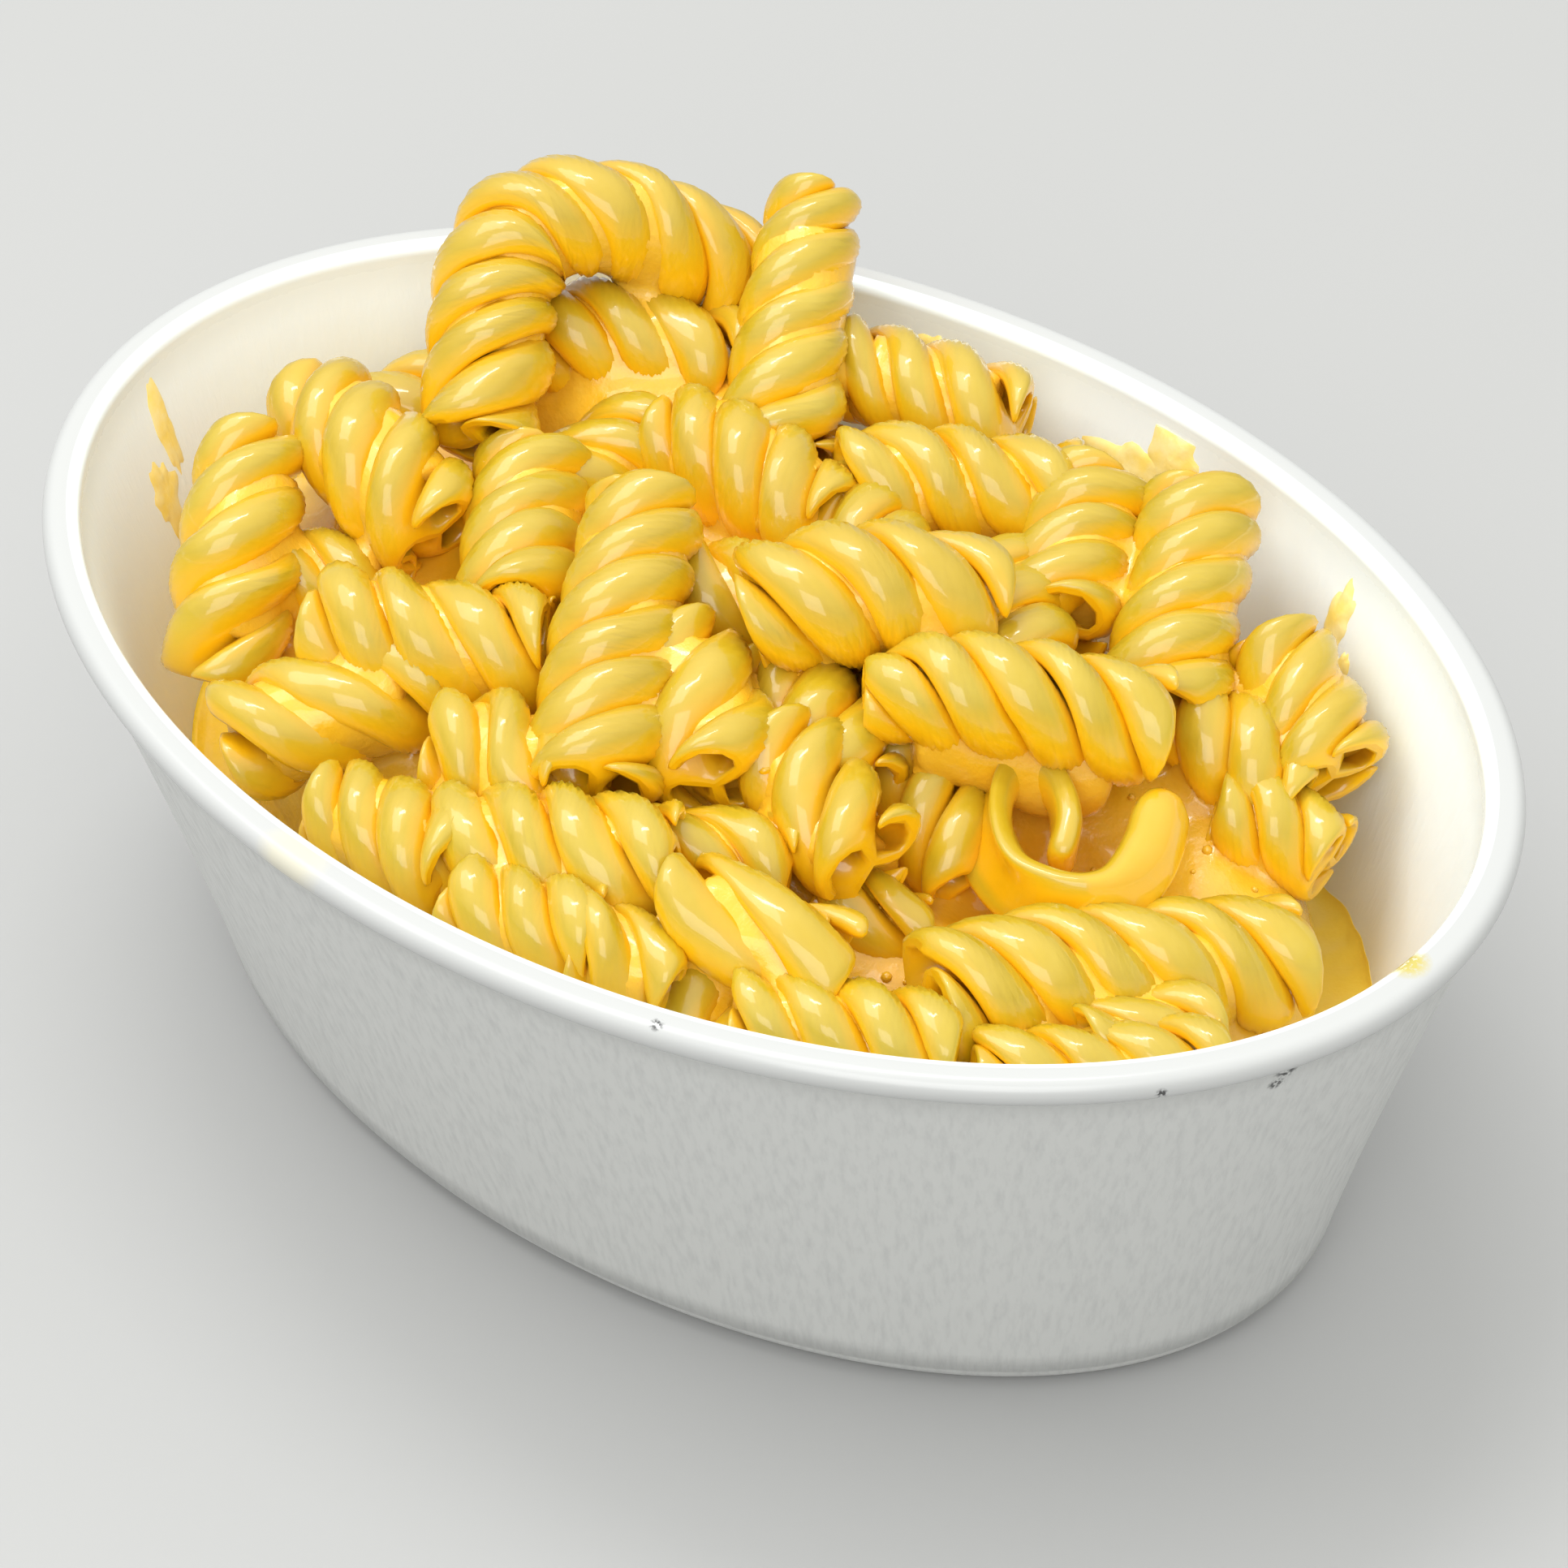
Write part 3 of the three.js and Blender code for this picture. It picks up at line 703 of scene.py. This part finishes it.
def curl_mesh():
    tops, lows = [Vector(k[0]) for k in CURL_KNOTS], [Vector(k[1]) for k in CURL_KNOTS]
    bulges = [Vector((k[2], 0, 0)) for k in CURL_KNOTS]
    points, crests = [], []
    for i in range(CURL_STEPS + 1):
        share = i / CURL_STEPS
        top, low = smooth_path(tops, share), smooth_path(lows, share)
        bulge = smooth_path(bulges, share).x
        run = (smooth_path(tops, min(share + 0.01, 1)) - smooth_path(tops, max(share - 0.01, 0))).normalized()
        out = (top - low).cross(run).normalized()
        from_cut = min(share, 1 - share) * CURL_STEPS
        round_off = math.sqrt(1 - max(0, 1 - (from_cut + 0.2) / 4) ** 2)
        middle = (top + low) / 2
        for k in range(CURL_SIDES):
            turn = 2 * math.pi * k / CURL_SIDES
            high, wide = math.sin(turn), math.cos(turn)
            high = math.copysign(abs(high) ** 0.75, high)
            wide = math.copysign(abs(wide) ** 0.6, wide) * CURL_THICK / 2 * round_off
            wavy = 0.4 * noise.noise(Vector((share * 9, high, 5)))
            at = middle + (top - low) / 2 * high * (0.5 + 0.5 * round_off)
            points.append((at + out * (wide + wavy + bulge * (1 - high * high))) * MM)
            # Painted shade: the hollow side gets the same painted fold shade as the folds of a spiral
            hollow = wide < 0 and (bulge < 0 or abs(high) < 0.5)
            crests.append(0.0 if hollow else 0.9)
    mesh = smooth_mesh("torn_curl", points, tube_faces(CURL_STEPS + 1, CURL_SIDES))
    mark_points(mesh, {"crest": crests, "tone": [CURL_TONE] * len(points)})
    return mesh


curl = add_piece("torn_curl", curl_mesh())
curl.data.materials.append(pasta)
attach(curl, "root")
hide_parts("rotini_heap")

# ---- The sauce-bound middle ------------------------------------------------------------------
# What the spirals lie on: more pasta sunk in thick cheese sauce, which climbs a little way up
# the spirals and webs across the gaps between them.
MOUND_SIDES = 48
HUMP_MIDDLE = Vector((-30, 22, 39)) * MM  # what the highest spirals lie on
HUMP_YAW = 25  # degrees
HUMP_HALF_LENGTH = 19.5  # mm
HUMP_HALF_HEIGHT = 12.5
ROD_SHARE = 0.42  # of a spiral's width: the sauce that fills it
ROD_SINK = 0.4 * MM
ROD_SIDES = 10
ROD_REACH = [0.16 + 0.068 * i for i in range(11)]  # along a spiral, short of its cut ends


def closed_tube(line, radius, sides):
    """Points and faces of a rod along a line."""
    points = []
    for i, point in enumerate(line):
        run = heading(line, i)
        side = run.cross(Vector((0.1, 0.2, 1))).normalized()
        over = run.cross(side)
        for k in range(sides):
            turn = 2 * math.pi * k / sides
            points.append(point + radius * (math.cos(turn) * side + math.sin(turn) * over))
    return points, tube_faces(len(line), sides)


def hump(rows=12, around=20):
    """Points and faces of a long ball."""
    tilt = Matrix.Rotation(math.radians(HUMP_YAW), 3, "Z")
    top = Vector((0, 0, HUMP_HALF_HEIGHT * MM))
    points = [HUMP_MIDDLE + top]
    for i in range(1, rows):
        down = math.pi * i / rows
        for k in range(around):
            turn = 2 * math.pi * k / around
            ball = Vector((HUMP_HALF_LENGTH * math.sin(down) * math.cos(turn),
                           HUMP_HALF_HEIGHT * math.sin(down) * math.sin(turn),
                           HUMP_HALF_HEIGHT * math.cos(down)))
            points.append(HUMP_MIDDLE + tilt @ ball * MM)
    points.append(HUMP_MIDDLE - top)
    # These rings run downwards, so each face goes round the other way
    return points, [(f[0], *reversed(f[1:])) for f in pole_faces(rows - 1, around)]


def add_body(points, faces, body):
    """Adds one closed body to a list of points and a list of faces."""
    more, more_faces = body
    faces += [tuple(len(points) + v for v in face) for face in more_faces]
    points += more


def core_mesh():
    bottom = 19.3 * MM
    profile = [(0, bottom), (30 * MM, bottom), (57 * MM, bottom), (57.5 * MM, 27 * MM), (55 * MM, 35 * MM),
               (47 * MM, 39 * MM), (26 * MM, 42.5 * MM), (0, 43.5 * MM)]
    mound = turned_mesh("mound", profile, MOUND_SIDES)
    points = [v.co.copy() for v in mound.vertices]
    for p in points:
        if p.z > 30 * MM:
            p.z += (p.y - p.x) * CORE_SLOPE
    faces = [tuple(f.vertices) for f in mound.polygons]
    add_body(points, faces, hump())
    for number, piece in numbered:
        line = spiral_line(piece, number, ROD_REACH)
        sunk = [p - Vector((0, 0, ROD_SINK)) for p in line]
        add_body(points, faces, closed_tube(sunk, piece["wide"] * ROD_SHARE * MM, ROD_SIDES))
    return smooth_mesh("sauce_core", points, faces)


def sauce_material(name, thick, milky):
    """Cheese sauce: orange-yellow and wet where it lies thick, beige and cloudy where it is thin."""
    material, tree, shader = new_material(name)
    where = object_place(tree)
    share = add_range(tree, add_noise(tree, where, 130, 4.0), 0.35, 0.65, 0.15, 0.75)
    lumps = add_noise(tree, where, 700, 4.0)
    feed(tree, shader, {
        "Base Color": add_mix(tree, share, thick, milky),
        "Roughness": 0.25,
        "Specular IOR Level": 0.3,
        "Coat Weight": 0.7,
        "Coat Roughness": 0.06,
        "Normal": add_bump(tree, lumps, 0.5, 0.4 * MM),
    })
    return material


sauce = sauce_material("cheese_sauce_thick", (0.76, 0.41, 0.006), (0.78, 0.49, 0.05))
maker = add_piece("core_maker", core_mesh())
remesh = maker.modifiers.new("blend", "REMESH")
remesh.mode = "VOXEL"
remesh.voxel_size = 0.9 * MM
settle = maker.modifiers.new("settle", "SMOOTH")
settle.factor = 0.6
settle.iterations = 7
bpy.context.view_layer.update()
core_shape = bpy.data.meshes.new_from_object(maker.evaluated_get(bpy.context.evaluated_depsgraph_get()))
bpy.data.objects.remove(maker)
# The sauce has settled in two dips: middle, reach and depth, mm
HOLLOWS = [((33, 0), 12, 8), ((22, -9), 7, 4)]
for vertex in core_shape.vertices:
    if vertex.co.z > 20 * MM:
        vertex.co.z += 0.5 * MM * noise.noise(vertex.co * 260)
    for spot, reach, depth in HOLLOWS:
        away = math.dist(vertex.co.xy / MM, spot) / reach
        above = min(max((vertex.co.z / MM - 32) / 6, 0), 1)
        vertex.co.z -= depth * MM * math.exp(-away * away * 1.5) * above
core_shape.shade_smooth()
core_shape.materials.append(sauce)
core = add_piece("sauce_bound_core", core_shape)
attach(core, "root")
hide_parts("rotini_heap")

# ---- The pool of sauce -----------------------------------------------------------------------
# Cheese sauce that has run down to the bottom of the dish. It shows at the right end, where it
# stands against the wall.
SAUCE_LEVEL = 19 * MM
POOL_GAP = 0.05 * MM  # between sauce and dish
POOL_SIDES = 160
POOL_RINGS = 30


def pool_mesh():
    low = FLOOR + POOL_GAP
    edge = inner_radius(SAUCE_LEVEL) - POOL_GAP
    hollow_foot = FLOOR + HOLLOW_ROUND
    profile = [(0, low), (30 * MM, low), (inner_radius(FLOOR) - 3.9 * MM, low),
               (inner_radius(FLOOR) - 1.5 * MM, low + 0.9 * MM),
               (inner_radius(hollow_foot) - POOL_GAP, hollow_foot),
               (inner_radius(14 * MM) - POOL_GAP, 14 * MM), (edge + 0.15 * MM, SAUCE_LEVEL + 0.7 * MM),
               (edge - 0.4 * MM, SAUCE_LEVEL + 0.3 * MM), (edge - 1.4 * MM, SAUCE_LEVEL)]
    for i in range(POOL_RINGS):
        share = 1 - i / POOL_RINGS
        profile.append((edge * share - 2 * MM * share, SAUCE_LEVEL))
    profile.append((0, SAUCE_LEVEL))
    mesh = turned_mesh("cheese_pool", profile, POOL_SIDES)
    for vertex in mesh.vertices:
        if vertex.co.z > SAUCE_LEVEL - 0.1 * MM:
            vertex.co.z += 0.25 * MM * noise.noise(vertex.co * 160)
    return mesh


pool = add_piece("cheese_pool", pool_mesh())
# Painted light: the pool's sauce is a lighter copy of the sauce, to lift it out of the shade at the right end
pool_sauce_painted_light = sauce_material("cheese_sauce_pool_painted_light", (0.98, 0.60, 0.01), (0.98, 0.70, 0.06))
pool.data.materials.append(pool_sauce_painted_light)
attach(pool, "root")
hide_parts("cheese_sauce")

# ---- Sauce bubbles ---------------------------------------------------------------------------
# Small beads of froth: skins of sauce round air that was stirred in. They stay on the sauce
# where it lies thick between the spirals.
BUBBLE_SEED = 11
BUBBLE_SIZE_SEED = 4


def bubble_tree():
    """Scatters beads over the parts of the sauce that face up and lie low."""
    numbers = ("Count per Square Metre", "Smallest", "Largest", "Below")
    inputs = (("Sauce", "Geometry"), *((label, "Float") for label in numbers), ("Film", "Material"))
    tree, given = new_tree("froth", inputs, "Bubbles")
    faces_up = add_math(tree, "GREATER_THAN",
                        upward_part(tree, tree.nodes.new("GeometryNodeInputNormal").outputs[0]), 0.75)
    lies_low = add_math(tree, "LESS_THAN",
                        upward_part(tree, tree.nodes.new("GeometryNodeInputPosition").outputs[0]),
                        given["Below"])
    spread = add_node(tree, "GeometryNodeDistributePointsOnFaces", {
        "Mesh": given["Sauce"],
        "Selection": add_math(tree, "MULTIPLY", faces_up, lies_low),
        "Density": given["Count per Square Metre"],
        "Seed": BUBBLE_SEED,
    })
    bead = add_node(tree, "GeometryNodeMeshUVSphere", {"Segments": 8, "Rings": 6, "Radius": 1.0})
    size = add_node(tree, "FunctionNodeRandomValue", {
        2: given["Smallest"], 3: given["Largest"], "Seed": BUBBLE_SIZE_SEED})
    beads = add_node(tree, "GeometryNodeInstanceOnPoints", {
        "Points": spread.outputs["Points"], "Instance": bead.outputs[0], "Scale": size.outputs[1]})
    return end_tree(tree, beads.outputs[0], given["Film"])


wanted = {"Count per Square Metre": 30000.0, "Smallest": 0.2 * MM, "Largest": 0.55 * MM, "Below": 41 * MM,
          "Film": sauce}
bare_core = core.data.copy()
bare_core.materials.clear()
froth = run_tree("sauce_bubbles", bare_core, bubble_tree(), wanted)
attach(froth, "root")
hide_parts("rotini_heap")

# ---- Sauce on the wall -----------------------------------------------------------------------
# Thin smears that dried on the inside of the dish as it was filled, and the film that the pool
# leaves at the right end. They cling to the wall and fade out at their edges.


def wall_place(turn, z, off):
    """A point off the inner wall by a distance, towards the middle."""
    radius = inner_radius(z)
    lean = (inner_radius(z + 1 * MM) - inner_radius(z - 1 * MM)) / (2 * MM)
    return oval_point(radius - off, turn, z + off * lean)


def smear(middle, wide, tall, thick, seed, rings=7, around=40):
    """Points and faces of a closed lens that lies on the wall, with a ragged outline."""
    x, y, z = (value * MM for value in middle)
    radius = inner_radius(z)
    squash = 1 - narrower / radius
    turn = math.atan2(y / squash, x)
    per_turn = (oval_point(radius, turn + 0.01, z) - oval_point(radius, turn - 0.01, z)).length / 0.02
    points = [wall_place(turn, z, thick * MM)]
    for i in range(1, rings + 1):
        for k in range(around):
            a = 2 * math.pi * k / around
            ragged = 1 + 0.5 * noise.noise(Vector((math.cos(a) * 1.9, math.sin(a) * 1.9, seed)))
            share = i / rings
            u = share * ragged * wide / 2 * MM * math.cos(a)
            v = share * ragged * tall / 2 * MM * math.sin(a)
            high = min(z + v, wall_top)
            lump = 0.85 + 0.3 * noise.noise(Vector((u * 500, v * 500, seed)))
            off = thick * MM * lump * math.sqrt(1 - share * share) - 0.03 * MM * share
            points.append(wall_place(turn + u / per_turn, high, off))
    points.append(wall_place(turn, z, -0.5 * MM))
    return points, pole_faces(rings, around)


# Middle on the wall, width along it, height, thickness, all mm, and a seed for the outline
SMEARS = [
    ((13.6, 45.3, 44.6), 6, 7, 0.4, 1),
    ((9.8, 45.6, 41.8), 11, 5.5, 0.4, 2),
    ((37.3, 38.2, 42.0), 3.0, 8, 0.5, 3),
    ((39.5, 36.5, 38.5), 2.0, 4, 0.4, 4),
    ((-67.4, -7.1, 42.0), 2.6, 10, 0.3, 5),
    ((-66.3, -10.0, 36.5), 4.5, 8, 0.3, 6),
    ((-14.0, 46.0, 45.0), 5, 4, 0.5, 7),
]
FILM_START, FILM_END = -40, 55  # degrees round the right end
FILM_FOOT = 18  # mm: where the film leaves the pool
FILM_RISE = 5  # mm that it reaches above its foot, more or less
FILM_THICK = 0.35  # mm
FILM_FOOT_THICK = 6.5  # mm: the pool creeps up the wall
FILM_STEPS = 110
FILM_ROWS = 14


def pool_film():
    """Points and faces of the film: thick at its foot, ragged and thin at its upper edge."""
    points = []
    for i in range(FILM_STEPS + 1):
        share = i / FILM_STEPS
        turn = math.radians(FILM_START + (FILM_END - FILM_START) * share)
        fade = math.sin(math.pi * min(max(share, 0.01), 0.99)) ** 0.6
        ragged = noise.noise(Vector((share * 9, 3, 7))) + 0.5 * noise.noise(Vector((share * 30, 3, 9)))
        rise = max(FILM_RISE * fade * (1 + 0.35 * ragged), 0.6)
        for j in range(FILM_ROWS):
            up = j / (FILM_ROWS - 1)
            lump = 0.8 + 0.5 * noise.noise(Vector((share * 40, up * 3, 1)))
            thick = FILM_THICK * lump * (1 - up * up) + FILM_FOOT_THICK * (1 - up) ** 2.2
            points.append(wall_place(turn, (FILM_FOOT + rise * up) * MM, (thick * fade + 0.04) * MM))
        points.append(wall_place(turn, (FILM_FOOT + rise) * MM, -0.2 * MM))
        points.append(wall_place(turn, FILM_FOOT * MM, -0.2 * MM))
    return points, tube_faces(FILM_STEPS + 1, FILM_ROWS + 2)


def smears_mesh():
    points, faces = [], []
    for middle, wide, tall, thick, seed in SMEARS:
        add_body(points, faces, smear(middle, wide, tall, thick, seed))
    add_body(points, faces, pool_film())
    mesh = smooth_mesh("wall_smears", points, faces)
    mesh.set_sharp_from_angle(angle=math.radians(50))
    return mesh


def film_material():
    """Sauce so thin that it turns pale yellow, and deeper yellow low on the wall. Its colours are painted
    light, near full brightness to lift it out of the shade, and more orange low down as painted shade.
    """
    material, tree, shader = new_material("cheese_sauce_thin_painted_light")
    where = object_place(tree)
    cloud = add_noise(tree, where, 420, 4.0)
    share = add_range(tree, cloud, 0.35, 0.65)
    # Painted light: the film's yellows are near full brightness to lift it out of the shade it lies in
    yellow = (0.94, 0.74, 0.18)
    pale = (0.94, 0.82, 0.38)
    deep_yellow_and_painted_shade = (1.0, 0.74, 0.09)
    colour = add_mix(tree, share, yellow, pale)
    thicker = add_range(tree, upward_part(tree, where), 34 * MM, 28 * MM)
    colour = add_mix(tree, thicker, colour, deep_yellow_and_painted_shade)
    feed(tree, shader, {"Base Color": colour, "Roughness": 0.3,
                        "Normal": add_bump(tree, cloud, 0.4, 0.3 * MM)})
    return material


smears = add_piece("wall_smears", smears_mesh())
smears.data.materials.append(film_material())
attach(smears, "root")

# ---- Camera, light and floor -----------------------------------------------------------------
# A plain pale table in a light room: a tube on the ceiling, a soft panel in front and one to
# the left, all large, so that the wet pasta shines softly.
camera_data = bpy.data.cameras.new("camera")
camera_data.sensor_width = 36
camera_data.lens = 94.1
camera = add_piece("camera", camera_data)
right = Vector((0.7734, 0.6339, 0))
back = Vector((0.47583, -0.58059, 0.66068)).normalized()
up = back.cross(right).normalized()
roll = math.radians(-0.619)
across = math.cos(roll) * right + math.sin(roll) * up
upward = back.cross(across)
camera.matrix_world = Matrix.Translation((0.180668, -0.216163, 0.276238)) @ Matrix(
    (across, upward, back)).transposed().to_4x4()
scene.camera = camera

floor_mesh = bpy.data.meshes.new("floor")
floor_mesh.from_pydata([(-3, -3, 0), (3, -3, 0), (3, 3, 0), (-3, 3, 0)], [], [(0, 1, 2, 3)])
floor = add_piece("floor", floor_mesh)
floor_material, floor_tree, floor_shader = new_material("pale_floor")
feed(floor_tree, floor_shader, {"Base Color": (0.38, 0.38, 0.378), "Roughness": 0.6})
floor_mesh.materials.append(floor_material)


LIGHT_AIM = Vector((0, 0, 0.03))


def add_light(name, place, size, watts):
    data = bpy.data.lights.new(name, "AREA")
    data.shape = "RECTANGLE"
    data.size, data.size_y = size
    data.energy = watts
    light = add_piece(name, data)
    aim_line = LIGHT_AIM - Vector(place)
    light.matrix_world = Matrix.Translation(place) @ aim_line.to_track_quat("-Z", "Y").to_matrix().to_4x4()


add_light("ceiling_tube", (-0.2, 0.15, 0.9), (0.36, 0.08), 1.4)
add_light("front_panel", (0.42, -0.7, 0.72), (0.7, 0.7), 4.1)
add_light("left_panel", (-0.36, -0.12, 0.88), (0.6, 0.6), 3.4)
world = bpy.data.worlds.new("room")
world.use_nodes = True
sky = world.node_tree
# The room is bright overhead and dimmer towards its walls
overhead = upward_part(sky, sky.nodes.new("ShaderNodeTexCoord").outputs["Generated"])
feed(sky, sky.nodes["Background"], {0: (0.99, 1.0, 0.97),
                                    1: add_range(sky, overhead, 0.3, 0.8, 0.68, 1.52)})
scene.world = world
scene.view_settings.view_transform = "Standard"
